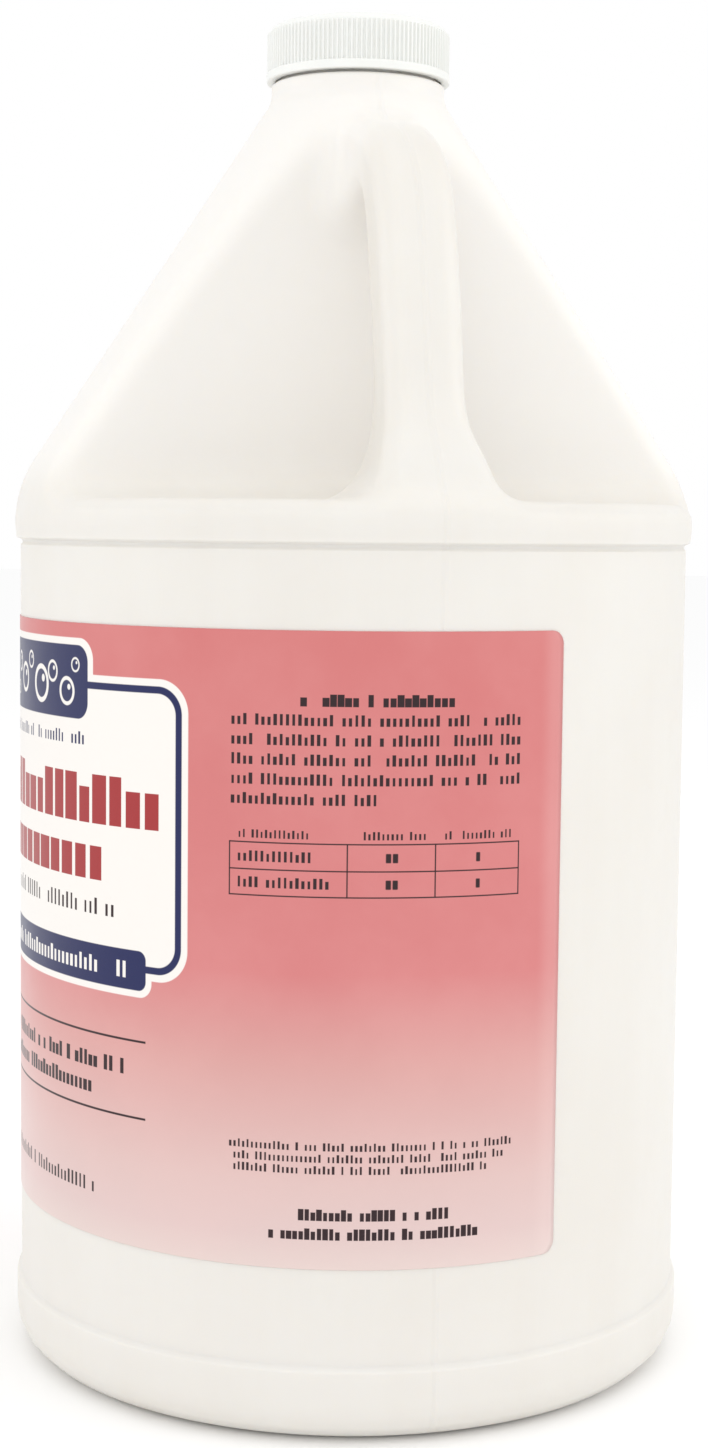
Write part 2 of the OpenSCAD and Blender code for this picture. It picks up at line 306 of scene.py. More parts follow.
def surface_net(values, xs, ys, zs):
    """Points and outward quads of the zero surface of a grid of values."""
    neg = values < 0
    nx, ny, nz = (n - 1 for n in values.shape)
    corners = [(i, j, k) for i in (0, 1) for j in (0, 1) for k in (0, 1)]

    def at(block, c):
        return block[c[0]:c[0] + nx, c[1]:c[1] + ny, c[2]:c[2] + nz]
    total = sum(at(neg, c).astype(np.int8) for c in corners)
    cells = np.argwhere((total > 0) & (total < 8))
    index = -np.ones((nx, ny, nz), np.int64)
    index[tuple(cells.T)] = np.arange(len(cells))
    pos, hits = np.zeros((len(cells), 3)), np.zeros(len(cells))
    for a in corners:
        for axis in range(3):
            if a[axis]:
                continue
            b = list(a)
            b[axis] = 1
            va = values[tuple((cells + a).T)]
            vb = values[tuple((cells + b).T)]
            cross = (va < 0) != (vb < 0)
            t = np.where(cross, va / np.where(cross, va - vb, 1), 0)
            p = np.tile(np.array(a, float), (len(cells), 1))
            p[:, axis] += t
            pos += p * cross[:, None]
            hits += cross
    pos = cells + pos / hits[:, None]
    step = np.array([xs[1] - xs[0], ys[1] - ys[0], zs[1] - zs[0]])
    pts = np.array([xs[0], ys[0], zs[0]]) + pos * step
    quads = []
    for axis in range(3):
        u, v = (axis + 1) % 3, (axis + 2) % 3
        lo = [slice(1, -1)] * 3
        lo[axis] = slice(0, -1)
        hi = list(lo)
        hi[axis] = slice(1, None)
        for sign in (True, False):
            hit = (neg[tuple(lo)] == sign) & (neg[tuple(hi)] != sign)
            c = np.argwhere(hit)
            c[:, u] += 1
            c[:, v] += 1
            ids = []
            for du, dv in ((-1, -1), (0, -1), (0, 0), (-1, 0)):
                e = c.copy()
                e[:, u] += du
                e[:, v] += dv
                ids.append(index[tuple(e.T)])
            q = np.stack(ids, 1)
            quads.append(q if sign else q[:, ::-1])
    return pts, np.vstack(quads)


def field_at(p, level):
    """The field at points, less level, so that it is zero on the skin at that level."""
    return shoulder_field(p[:, 0], p[:, 1], p[:, 2], near_bar(p[:, 0], p[:, 2])) - level


def onto_surface(p, level, rounds=2):
    """Moves points along the field's slope until they lie on the surface."""
    nudge = 0.05
    for _ in range(rounds):
        f = field_at(p, level)
        g = np.stack([field_at(p + nudge * np.eye(3)[k], level) - f for k in range(3)], 1) / nudge
        move = f[:, None] * g / np.maximum((g * g).sum(1), 0.2)[:, None]
        p = p - np.clip(move, -1, 1)
    return p


def rim_points(quads):
    """The numbers of the points on a quad mesh's open edges."""
    e = np.vstack([quads[:, [i, (i + 1) % 4]] for i in range(4)])
    key = np.sort(e, 1)
    _, back, uses = np.unique(key, axis=0, return_inverse=True, return_counts=True)
    return np.unique(key[uses[back.ravel()] == 1])


def shoulder_skin(level, cell):
    """One skin of the shoulder zone: points, quads, and the ids of its low and high rims."""
    half = math.ceil((BAND_R + 1.5) / cell) * cell
    xs = np.arange(-half, half + cell / 2, cell) + GRID_SHIFT
    zs = np.linspace(ZONE_LOW, ZONE_HIGH, int((ZONE_HIGH - ZONE_LOW) / cell) + 1)
    gx, gz = np.meshgrid(xs, zs, indexing="ij")
    bar = [b[:, None, :] for b in near_bar(gx, gz)]
    x, y, z = np.meshgrid(xs, xs, zs, indexing="ij")
    pts, quads = surface_net(shoulder_field(x, y, z, bar) - level, xs, xs, zs)
    rim = rim_points(quads)
    low = rim[pts[rim, 2] < (ZONE_LOW + ZONE_HIGH) / 2]
    high = rim[pts[rim, 2] > (ZONE_LOW + ZONE_HIGH) / 2]
    pts = onto_surface(pts, level)
    for ids in (low, high):
        pts[ids, 2] = np.median(pts[ids, 2])
        r = np.hypot(pts[ids, 0], pts[ids, 1])
        pts[ids, :2] *= (np.median(r) / r)[:, None]
    # ease the points between their neighbours, all but the rims
    fixed = np.zeros(len(pts), bool)
    fixed[rim] = True
    e = np.vstack([quads[:, [i, (i + 1) % 4]] for i in range(4)])
    e = np.vstack([e, e[:, ::-1]])
    for _ in range(6):
        total, count = np.zeros_like(pts), np.zeros(len(pts))
        np.add.at(total, e[:, 0], pts[e[:, 1]])
        np.add.at(count, e[:, 0], 1)
        eased = pts + 0.6 * (total / count[:, None] - pts)
        eased = onto_surface(eased, level, 1)
        pts = np.where(fixed[:, None], pts, eased)
    free = ~fixed
    pts[free] = onto_surface(pts[free], level, 2)
    return pts, quads, low, high


def thread_out(z, a):
    """How far the neck thread stands out at height z, for an array of angles."""
    out = np.zeros_like(a)
    for turn in (0, 1):
        run = a / (2 * math.pi) + turn
        off = np.abs(z - THREAD_Z - PITCH * run)
        side = np.clip((THREAD_FOOT / 2 - off) / THREAD_FLANK, 0, 1)
        fade = np.clip(np.minimum(run, THREAD_TURNS - run) / THREAD_FADE, 0, 1)
        out = np.maximum(out, THREAD_OUT * side * side * (3 - 2 * side) * fade)
    return out


def bottle_mesh():
    """The whole bottle as one closed mesh, joined up from the middle of its base, outside and then in."""
    b = Builder()
    a = np.arange(AROUND) * 2 * math.pi / AROUND
    seam = np.isclose(np.abs(np.sin(a)), 0)

    # outside, from the middle of the base up to the shoulder zone
    base = fillet([(MIDDLE_R, MIDDLE_Z, 0), (DISH_R, DISH_Z, 5), (RING_IN, RING_LIFT, 3),
                   (RING_R, 0.0, 2), (RING_OUT, 0.0, 0.8),
                   (FOOT_R, 0, HEEL_R), (FOOT_R, FOOT_Z, 1.0), (PANEL_R, FOOT_Z + 1.0, 1.0),
                   (PANEL_R, STEP_Z - 1.5, 0.5), (PANEL_R - 0.45, STEP_Z - 1.0, 0.35),
                   (PANEL_R - 0.30, STEP_Z - 0.35, 0.3), (BAND_R - 0.25, STEP_Z + 0.15, 0.5),
                   (BAND_R, STEP_Z + 3, 6), (BAND_R, ZONE_LOW - ZONE_JOIN, 0)], 5)
    base = spread(base, 9)
    rows = []
    for r, z in base:
        ridge = RIDGE_H * seam * min(1, max(0, (RIDGE_R - r) / RIDGE_FADE))
        rows.append(b.ring(r, z - ridge))
    b.cap(rows[0], (0, 0, MIDDLE_Z - RIDGE_H))
    for lo, hi in zip(rows[:-1], rows[1:]):
        b.strip(lo, hi)

    # the shoulder, blended with its recess and handle
    pts, quads, low, high = shoulder_skin(0.0, CELL_OUT)
    ids = b.add(pts)
    b.faces += [tuple(q) for q in (quads + ids[0])]
    b.zipper(rows[-1], ids[low])

    # neck bead, thread, lip and bore
    neck = fillet([(BEAD_R, ZONE_HIGH + NECK_JOIN, 0), (BEAD_R, BEAD_HIGH, 0.7),
                   (NECK_R, BEAD_HIGH + 0.1, 0.5), (NECK_R, LIP_Z - 0.9, 0),
                   (NECK_R, LIP_Z, 0.7), (BORE_R, LIP_Z, 0.5),
                   (BORE_R, LIP_Z - 3, 0), (BORE_R, BEAD_HIGH + 0.8, 2), (FUNNEL_R, BEAD_HIGH - 1.5, 2),
                   (BEAD_R - WALL, ZONE_HIGH + NECK_JOIN, 0)], 4)
    neck = spread(neck, 0.5)
    rows = []
    for r, z in neck:
        on_neck = NECK_R - 0.05 < r < BEAD_R and z > BEAD_HIGH + 0.4
        rows.append(b.ring(r + (thread_out(z, a) if on_neck else 0), z))
    b.zipper(ids[high], rows[0])
    for lo, hi in zip(rows[:-1], rows[1:]):
        b.strip(lo, hi)

    # inside skin of the shoulder
    pts, quads, low, high = shoulder_skin(-WALL, CELL_IN)
    ids = b.add(pts)
    b.faces += [tuple(q) for q in (quads + ids[0])[:, ::-1]]
    b.zipper(ids[high], rows[-1], flip=True)

    # inside of the body, down to the middle of the base
    inside = fillet([(BAND_R - WALL, ZONE_LOW - ZONE_JOIN, 0), (BAND_R - WALL, STEP_Z + 1.2, 0.6),
                     (PANEL_R - WALL, STEP_Z - 0.9, 0.8), (PANEL_R - WALL, FOOT_Z + 2, 1),
                     (FOOT_R - WALL, FOOT_Z, 1), (FOOT_R - WALL, WALL, HEEL_R - WALL), (61, WALL, 2),
                     (DISH_R, DISH_Z + WALL, 4), (MIDDLE_R, MIDDLE_Z + WALL, 0)], 4)
    inside = spread(inside, 20)
    rows = [b.ring(r, z) for r, z in inside]
    b.zipper(rows[0], ids[low], flip=True)
    for hi, lo in zip(rows[:-1], rows[1:]):
        b.strip(lo, hi, flip=True)
    b.cap(rows[-1], (0, 0, MIDDLE_Z + WALL), flip=True)
    return b.object("bottle_shell")


bottle = bottle_mesh()


# ---------------------------------------------------------------- label
def label_mesh():
    """The wrapped film: two skins with rounded corners, joined round their rim."""
    b = Builder()
    arc = LABEL_WRAP * PANEL_R
    corner = LABEL_CORNER * (1 - np.cos(np.linspace(0, math.pi / 2, 9)))
    vs = np.concatenate([corner, np.linspace(LABEL_CORNER, LABEL_TALL - LABEL_CORNER, 26)[1:-1],
                         (LABEL_TALL - corner)[::-1]])
    us = np.linspace(0, 1, 181)
    skins = []
    for out in (0.0, LABEL_T):
        rows = []
        for v in vs:
            d = LABEL_CORNER - min(v, LABEL_TALL - v)
            pull = 0 if d <= 0 else LABEL_CORNER - math.sqrt(max(0, LABEL_CORNER ** 2 - d * d))
            ang = LABEL_MID - LABEL_WRAP / 2 + (pull + us * (arc - 2 * pull)) / PANEL_R
            r = PANEL_R + out
            rows.append(b.add(np.stack([r * np.cos(ang), r * np.sin(ang),
                                        np.full(len(us), LABEL_LOW + v)], 1)))
        skins.append(np.array(rows))
    back, front = skins
    m, n = front.shape
    for i in range(m - 1):
        for j in range(n - 1):
            f = front[i, j], front[i, j + 1], front[i + 1, j + 1], front[i + 1, j]
            k = back[i, j], back[i + 1, j], back[i + 1, j + 1], back[i, j + 1]
            b.faces += [f, k]
    rim = [(0, j) for j in range(n)] + [(i, n - 1) for i in range(1, m)]
    rim += [(m - 1, j) for j in range(n - 2, -1, -1)] + [(i, 0) for i in range(m - 2, 0, -1)]
    for p, q in zip(rim, rim[1:] + rim[:1]):
        b.faces.append((back[p], back[q], front[q], front[p]))
    return b.object("label_film")


label = label_mesh()


# ---------------------------------------------------------------- cap liner
def liner_mesh():
    """A foam disc that lies on the lip."""
    b = Builder()
    top = LIP_Z + LINER_T
    line = fillet([(LINER_MIDDLE, LIP_Z, 0), (BORE_R - 0.6, LIP_Z, 0), (BORE_R - 0.2, LIP_Z, 0),
                   (LINER_R, LIP_Z, LINER_ROUND), (LINER_R, top, LINER_ROUND), (LINER_MIDDLE, top, 0)], 4)
    rows = [b.ring(x, z, LINER_AROUND) for x, z in spread(line, 1.6)]
    b.cap(rows[0], (0, 0, LIP_Z))
    for lo, hi in zip(rows[:-1], rows[1:]):
        b.strip(lo, hi)
    b.cap(rows[-1], (0, 0, top), flip=True)
    return b.object("liner_disc")


liner = liner_mesh()


# ---------------------------------------------------------------- materials
class Nodes:
    """Short names for building a material's node tree."""

    def __init__(self, name):
        self.mat = bpy.data.materials.new(name)
        self.mat.use_nodes = True
        self.tree = self.mat.node_tree
        self.tree.nodes.clear()
        out = self.tree.nodes.new("ShaderNodeOutputMaterial")
        self.bsdf = self.tree.nodes.new("ShaderNodeBsdfPrincipled")
        self.tree.links.new(self.bsdf.outputs[0], out.inputs[0])
        coord = self.tree.nodes.new("ShaderNodeTexCoord")
        self.object = coord.outputs["Object"]

    def put(self, socket, value):
        """Links value when it is another node's output, or else sets it."""
        if isinstance(value, bpy.types.NodeSocket):
            self.tree.links.new(value, socket)
        else:
            socket.default_value = value

    def math(self, op, *values):
        n = self.tree.nodes.new("ShaderNodeMath")
        n.operation = op
        for i, v in enumerate(values):
            self.put(n.inputs[i], v)
        return n.outputs[0]

    def smooth(self, value, a, b):
        """0 at a, 1 at b."""
        n = self.tree.nodes.new("ShaderNodeMapRange")
        n.interpolation_type = "SMOOTHSTEP"
        self.put(n.inputs["Value"], value)
        self.put(n.inputs["From Min"], a)
        self.put(n.inputs["From Max"], b)
        return n.outputs[0]

    def noise(self, scale, detail=3.0, rough=0.5, vector=None):
        n = self.tree.nodes.new("ShaderNodeTexNoise")
        self.put(n.inputs["Vector"], vector or self.object)
        self.put(n.inputs["Scale"], scale)
        self.put(n.inputs["Detail"], detail)
        self.put(n.inputs["Roughness"], rough)
        return n.outputs[0]

    def mix(self, factor, a, b):
        """Colour a where factor is 0, b where it is 1."""
        n = self.tree.nodes.new("ShaderNodeMix")
        n.data_type = "RGBA"
        self.put(n.inputs[0], factor)
        self.put(n.inputs[6], a)
        self.put(n.inputs[7], b)
        return n.outputs[2]

    def bump(self, height, distance, strength=1.0, before=None):
        n = self.tree.nodes.new("ShaderNodeBump")
        self.put(n.inputs["Height"], height)
        self.put(n.inputs["Distance"], distance)
        self.put(n.inputs["Strength"], strength)
        if before is not None:
            self.put(n.inputs["Normal"], before)
        return n.outputs[0]

    def split(self):
        """x, y and z in metres."""
        n = self.tree.nodes.new("ShaderNodeSeparateXYZ")
        self.put(n.inputs[0], self.object)
        return n.outputs[0], n.outputs[1], n.outputs[2]

    def set(self, **values):
        for key, v in values.items():
            self.put(self.bsdf.inputs[key.replace("_", " ")], v)


def rgb(r, g, b):
    """An sRGB colour of 0 to 255 as linear RGBA."""
    def line(c):
        c /= 255
        return c / 12.92 if c <= 0.04045 else ((c + 0.055) / 1.055) ** 2.4
    return (line(r), line(g), line(b), 1.0)


# in metres: where the painted light on the shaded recess and the shoulder beside it begins, and the raised
# parting line
PAINTED_LIGHT_LOW, PAINTED_LIGHT_HIGH = 0.194, 0.206
PAINTED_LIGHT_FRONT, PAINTED_LIGHT_BACK = 0.046, 0.030
SEAM_HALF, SEAM_HIGH = 0.0009, 0.00012
SPECK = rgb(176, 160, 140)


def plastic(name, light, dark, rough, grain=0.00002, seam=True, painted_light=None):
    """Satin moulded plastic, clouded between two near tones, with a few specks and rubbed places.
    Its last argument is a paler colour painted on the recess and the shoulder above the band: painted
    light that offsets their shade."""
    n = Nodes(name)
    x, y, z = n.split()
    cloud = n.noise(18, 4, 0.55)
    fine = n.noise(900, 2, 0.6)
    streak = n.tree.nodes.new("ShaderNodeMapping")
    n.put(streak.inputs["Vector"], n.object)
    streak.inputs["Scale"].default_value = (1, 1, 0.12)
    drawn = n.noise(60, 5, 0.6, vector=streak.outputs[0])
    tone = n.math("ADD", n.math("MULTIPLY", cloud, 0.6), n.math("MULTIPLY", drawn, 0.4))
    colour = n.mix(n.smooth(tone, 0.35, 0.65), dark, light)
    # painted light: a paler colour lifts the shaded recess and the shoulder above the band, away from the
    # front
    if painted_light:
        high = n.smooth(z, PAINTED_LIGHT_LOW, PAINTED_LIGHT_HIGH)
        behind = n.smooth(x, PAINTED_LIGHT_FRONT, PAINTED_LIGHT_BACK)
        colour = n.mix(n.math("MULTIPLY", high, behind), colour, painted_light)
    spot = n.tree.nodes.new("ShaderNodeTexVoronoi")
    spot.feature = "F1"
    n.put(spot.inputs["Vector"], n.object)
    n.put(spot.inputs["Scale"], 26.0)
    speck = n.smooth(spot.outputs["Distance"], 0.030, 0.016)
    rare = n.smooth(n.noise(31, 0), 0.66, 0.70)
    colour = n.mix(n.math("MULTIPLY", n.math("MULTIPLY", speck, rare), 0.55), colour, SPECK)
    rub = n.smooth(n.noise(140, 6, 0.7), 0.52, 0.70)
    n.set(Base_Color=colour, Roughness=n.math("ADD", rough, n.math("MULTIPLY", rub, 0.12)))
    wave = n.noise(32, 3, 0.5)
    normal = n.bump(wave, 0.0009, 0.5)
    normal = n.bump(fine, grain, 0.6, before=normal)
    if seam:
        line = n.smooth(n.math("ABSOLUTE", y), SEAM_HALF, 0.0)
        normal = n.bump(line, SEAM_HIGH, 1.0, before=normal)
    n.set(Normal=normal, IOR=1.5)
    return n


# the third colour is painted light, paler on the recess and the shoulder to offset their shade
hdpe = plastic("hdpe_natural_white", rgb(230, 226, 219), rgb(227, 222, 214), 0.42,
               painted_light=rgb(239, 235, 229))
hdpe.set(Subsurface_Weight=0.25, Subsurface_Scale=0.004)
hdpe.bsdf.inputs["Subsurface Radius"].default_value = (1.0, 0.85, 0.65)
cap_mat = plastic("cap_white", rgb(234, 235, 232), rgb(231, 232, 228), 0.38, seam=False)
cap_mat.set(Subsurface_Weight=0.15, Subsurface_Scale=0.003)
cap_mat.bsdf.inputs["Subsurface Radius"].default_value = (1.0, 0.9, 0.8)
foam = plastic("liner_foam", rgb(236, 236, 232), rgb(228, 228, 222), 0.7, 0.00008, seam=False)


class Group(Nodes):
    """A node group of numbers, so that a pattern is built once and used many times."""

    def __init__(self, name, **defaults):
        self.tree = bpy.data.node_groups.new(name, "ShaderNodeTree")
        for key, value in defaults.items():
            sock = self.tree.interface.new_socket(key, in_out="INPUT", socket_type="NodeSocketFloat")
            sock.default_value = value
        self.tree.interface.new_socket("Mask", in_out="OUTPUT", socket_type="NodeSocketFloat")
        given = self.tree.nodes.new("NodeGroupInput")
        self.given = {key: given.outputs[key] for key in defaults}

    def finish(self, mask):
        out = self.tree.nodes.new("NodeGroupOutput")
        self.tree.links.new(mask, out.inputs[0])
        return self.tree


def box_group():
    """1 inside a rounded box with its middle at mid_s, mid_v, half sizes half_w, half_h and corners r."""
    g = Group("label_box", s=0, v=0, mid_s=0, mid_v=0, half_w=1, half_h=1, r=0, soft=0.12)
    q = g.given
    ds = g.math("SUBTRACT", g.math("ABSOLUTE", g.math("SUBTRACT", q["s"], q["mid_s"])),
                g.math("SUBTRACT", q["half_w"], q["r"]))
    dv = g.math("SUBTRACT", g.math("ABSOLUTE", g.math("SUBTRACT", q["v"], q["mid_v"])),
                g.math("SUBTRACT", q["half_h"], q["r"]))
    a, b = g.math("MAXIMUM", ds, 0.0), g.math("MAXIMUM", dv, 0.0)
    far = g.math("SQRT", g.math("ADD", g.math("MULTIPLY", a, a), g.math("MULTIPLY", b, b)))
    near = g.math("MINIMUM", g.math("MAXIMUM", ds, dv), 0.0)
    d = g.math("SUBTRACT", g.math("ADD", far, near), q["r"])
    return g.finish(g.smooth(d, q["soft"], g.math("MULTIPLY", q["soft"], -1.0)))


def words_group():
    """Rows of small upright dashes that stand for words: s0 is the left end, s1 the right end, top the top
    of the first row, size the height of the tall dashes, bold the share of each step that is inked."""
    g = Group("label_words", s=0, v=0, s0=1, s1=0, top=0, size=1, rows=1, pitch=4, seed=0, bold=0.6,
              gap=0.16, step=0.55)
    q = g.given
    step = g.math("MULTIPLY", q["size"], q["step"])
    col = g.math("DIVIDE", g.math("SUBTRACT", q["s0"], q["s"]), step)
    row = g.math("DIVIDE", g.math("SUBTRACT", q["top"], q["v"]), q["pitch"])
    place = g.tree.nodes.new("ShaderNodeCombineXYZ")
    for k, val in enumerate((g.math("FLOOR", col), g.math("FLOOR", row), q["seed"])):
        g.put(place.inputs[k], val)
    dice = g.tree.nodes.new("ShaderNodeTexWhiteNoise")
    dice.noise_dimensions = "3D"
    g.put(dice.inputs["Vector"], place.outputs[0])
    part = g.tree.nodes.new("ShaderNodeSeparateColor")
    g.put(part.inputs[0], dice.outputs["Color"])
    filled = g.math("GREATER_THAN", dice.outputs["Value"], q["gap"])
    across = g.math("ABSOLUTE", g.math("MULTIPLY", g.math("SUBTRACT", g.math("FRACT", col), 0.5), step))
    down = g.math("MULTIPLY", g.math("FRACT", row), q["pitch"])
    wide = g.math("MULTIPLY", g.math("ADD", 0.8, g.math("MULTIPLY", part.outputs[1], 0.4)), q["bold"])
    half = g.math("MULTIPLY", g.math("MULTIPLY", step, wide), 0.5)
    side = g.smooth(g.math("SUBTRACT", across, half), 0.07, -0.07)
    short = g.math("MULTIPLY", g.math("LESS_THAN", part.outputs[0], 0.66), 0.27)
    upper = g.smooth(g.math("SUBTRACT", down, g.math("MULTIPLY", q["size"], short)), -0.07, 0.07)
    lower = g.smooth(g.math("SUBTRACT", down, q["size"]), 0.07, -0.07)
    mask = g.math("MULTIPLY", g.math("MULTIPLY", filled, side), g.math("MULTIPLY", upper, lower))
    steps = g.math("DIVIDE", g.math("SUBTRACT", q["s0"], q["s1"]), step)
    cells = g.math("FLOOR", g.math("ADD", steps, 0.3))
    inside = g.math("MULTIPLY", g.math("GREATER_THAN", col, 0.0), g.math("LESS_THAN", col, cells))
    inside = g.math("MULTIPLY", inside, g.math("MULTIPLY", g.math("GREATER_THAN", row, 0.0),
                                               g.math("LESS_THAN", row, q["rows"])))
    return g.finish(g.math("MULTIPLY", mask, inside))


class Print(Nodes):
    """Label artwork in millimetres: s runs left from the label's right end, v up from its foot."""

    def __init__(self, name):
        super().__init__(name)
        x, y, z = self.split()
        turn = self.math("ARCTAN2", y, x)
        end = LABEL_MID + LABEL_WRAP / 2
        self.s = self.math("MULTIPLY", self.math("SUBTRACT", end, turn), PANEL_R)
        self.v = self.math("SUBTRACT", self.math("MULTIPLY", z, 1000.0), LABEL_LOW)
        self.groups = {"box": box_group(), "words": words_group()}
        self.colour = None
        self.seed = 0.0

    def use(self, kind, **values):
        """The mask of one box or one block of words."""
        n = self.tree.nodes.new("ShaderNodeGroup")
        n.node_tree = self.groups[kind]
        for key, value in dict(values, s=self.s, v=self.v).items():
            self.put(n.inputs[key], value)
        return n.outputs[0]

    def ink(self, mask, colour):
        self.colour = self.mix(mask, self.colour, colour)

    def box(self, colour, s, v, w, h, r=0.0, soft=0.12):
        self.ink(self.use("box", mid_s=s, mid_v=v, half_w=w, half_h=h, r=r, soft=soft), colour)

    def words(self, colour, s0, s1, top, size, **more):
        self.seed += 1.0
        self.ink(self.use("words", s0=s0, s1=s1, top=top, size=size, seed=self.seed, **more), colour)


# the film's colour at heights above the label's foot
LABEL_STOPS = [(0.0, (220, 202, 197)), (7, (216, 192, 189)), (17.7, (215, 186, 182)),
               (30, (212, 172, 168)), (42, (210, 157, 153)), (52, (208, 141, 139)),
               (61, (206, 124, 124)), (130.5, (203, 117, 116))]
CARD = rgb(237, 233, 228)
NAVY = rgb(30, 36, 84)
RED = rgb(160, 50, 52)
BLACK = rgb(44, 26, 30)
FRONT_MID = 131.85      # middle of the front panel, from the label's right end
CODE_MID = 223.5        # middle of the striped panel
# bubbles of the badge: place from the panel's middle, height and radius
BUBBLES = ((-19.4, 121.6, 1.6), (-16.0, 115.9, 3.1), (-9.6, 119.8, 2.4), (-3.4, 116.8, 4.2),
           (3.6, 121.6, 2.0), (9.2, 117.4, 3.4), (15.8, 120.6, 2.4), (18.6, 114.6, 1.7))


def front_panel(p, mid):
    """White card with a navy line, a badge of bubbles, two headline rows and a banner."""
    p.box(CARD, mid, 88.4, 51.6, 31.4, 7.0)
    p.box(CARD, mid, 118.0, 25.7, 9.3, 4.6)
    p.box(CARD, mid, 58.8, 42.8, 5.6, 3.2)
    p.box(NAVY, mid, 88.4, 50.1, 29.9, 5.8)
    p.box(CARD, mid, 88.4, 48.6, 28.4, 4.4)
    p.box(NAVY, mid, 118.0, 23.9, 7.8, 3.6)
    p.box(NAVY, mid, 58.8, 41.3, 4.2, 2.0)
    for s, v, r in BUBBLES:
        p.box(CARD, mid + s, v, r, r, r)
        p.box(NAVY, mid + s, v, r * 0.74, r * 0.74, r * 0.74)
        p.box(CARD, mid + s - r * 0.28, v + r * 0.28, r * 0.2, r * 0.2, r * 0.2)
    p.words(NAVY, mid + 23, mid - 23, 107.6, 2.7, bold=0.45, step=0.5)
    p.words(RED, mid + 45, mid - 45.2, 98.9, 10.4, pitch=12, bold=0.80, gap=0.0, step=0.482)
    p.words(RED, mid + 29, mid - 29.3, 86.4, 9.8, pitch=12, bold=0.80, gap=0.0, step=0.54)
    p.words(BLACK, mid + 32, mid - 32.4, 72.8, 3.5, pitch=6, bold=0.42, step=0.5)
    p.words(CARD, mid + 39, mid - 38.6, 60.5, 3.5, pitch=6, bold=0.55, step=0.5)
    for v in (43.9, 27.6):
        p.box(BLACK, mid, v, 41.3, 0.24, soft=0.08)
    p.words(BLACK, mid + 37, mid - 36.5, 39.8, 3.3, pitch=6, bold=0.72, step=0.5)
    p.words(BLACK, mid + 24, mid - 25.5, 34.2, 3.3, pitch=6, bold=0.72, step=0.5)
    p.words(BLACK, mid + 26, mid - 27.0, 12.4, 3.0, bold=0.45, step=0.5)


def use_panel(p):
    """Right-hand column: heading, paragraph, a two-row table, small print and two bold lines."""
    p.words(BLACK, 56.4, 24.6, 117.8, 2.5, bold=0.85, step=0.6)
    p.words(BLACK, 70.9, 10.2, 113.7, 2.3, rows=4, bold=0.52)
    p.words(BLACK, 70.9, 40.3, 97.7, 2.3, bold=0.52)
    for s0, s1 in ((69.2, 53.6), (43.6, 30.4), (27.0, 11.4)):
        p.words(BLACK, s0, s1, 90.2, 1.7, bold=0.45, gap=0.08)
    for v in (87.6, 82.1, 76.8):
        p.box(BLACK, 40.65, v, 30.3, 0.14, soft=0.08)
    for s in (70.85, 46.6, 28.7, 10.45):
        p.box(BLACK, s, 82.2, 0.14, 5.5, soft=0.08)
    p.words(BLACK, 69.4, 54.0, 85.9, 2.2, bold=0.5)
    p.words(BLACK, 69.4, 50.0, 80.6, 2.2, bold=0.5)
    for v in (84.8, 79.4):
        for s, w in ((38.3, 0.55), (36.9, 0.55), (19.6, 0.45)):
            p.box(BLACK, s, v, w, 0.95, 0.2)
    p.words(BLACK, 70.8, 10.4, 26.4, 1.7, rows=2, pitch=2.4, bold=0.5)
    p.words(BLACK, 70.8, 15.4, 21.6, 1.7, pitch=2.4, bold=0.5)
    p.words(BLACK, 56.0, 24.6, 12.6, 2.4, bold=0.8, step=0.52)
    p.words(BLACK, 62.2, 18.4, 8.6, 2.4, bold=0.8, step=0.52)


def far_panel(p):
    """Left-hand column, on the side that faces away: a text block and a striped code panel."""
    p.words(BLACK, 252.0, 206.0, 117.8, 2.5, bold=0.85, step=0.6)
    p.words(BLACK, 252.0, 195.0, 113.7, 2.3, rows=8, bold=0.52)
    p.words(BLACK, 252.0, 214.0, 81.7, 2.3, bold=0.52)
    p.box(CARD, CODE_MID, 22.0, 18.0, 12.5, 1.0)
    lane = p.math("MULTIPLY", p.s, 0.83)
    dice = p.tree.nodes.new("ShaderNodeTexWhiteNoise")
    dice.noise_dimensions = "1D"
    p.put(dice.inputs["W"], p.math("FLOOR", lane))
    share = p.math("ADD", 0.2, p.math("MULTIPLY", dice.outputs["Value"], 0.6))
    stripe = p.math("LESS_THAN", p.math("FRACT", lane), share)
    field = p.use("box", mid_s=CODE_MID, mid_v=22.5, half_w=15.2, half_h=9.6)
    p.ink(p.math("MULTIPLY", stripe, field), BLACK)


def label_material():
    """Glossy film: a colour ramp up the label, faintly clouded, and the three panels of artwork."""
    p = Print("label_print")
    ramp = p.tree.nodes.new("ShaderNodeValToRGB")
    while len(ramp.color_ramp.elements) < len(LABEL_STOPS):
        ramp.color_ramp.elements.new(0.5)
    for e, (v, c) in zip(ramp.color_ramp.elements, LABEL_STOPS):
        e.position = v / LABEL_TALL
        e.color = rgb(*c)
    p.put(ramp.inputs[0], p.math("DIVIDE", p.v, LABEL_TALL))
    cloud = p.smooth(p.noise(30, 4, 0.6), 0.35, 0.7)
    p.colour = p.mix(p.math("MULTIPLY", cloud, 0.07), ramp.outputs[0], rgb(250, 200, 196))
    # a paler margin near the end of the sheet
    p.ink(p.math("MULTIPLY", p.smooth(p.s, 6.0, 2.0), 0.10), rgb(250, 226, 222))
    front_panel(p, FRONT_MID)
    use_panel(p)
    far_panel(p)
    film = p.noise(90, 5, 0.6)
    p.set(Base_Color=p.colour, Roughness=p.math("ADD", 0.24, p.math("MULTIPLY", film, 0.14)),
          IOR=1.5, Specular_IOR_Level=0.3)
    normal = p.bump(p.noise(24, 3, 0.5), 0.0006, 0.35)
    normal = p.bump(p.noise(1500, 2, 0.6), 0.00001, 0.5, before=normal)
    p.set(Normal=normal)
    return p.mat


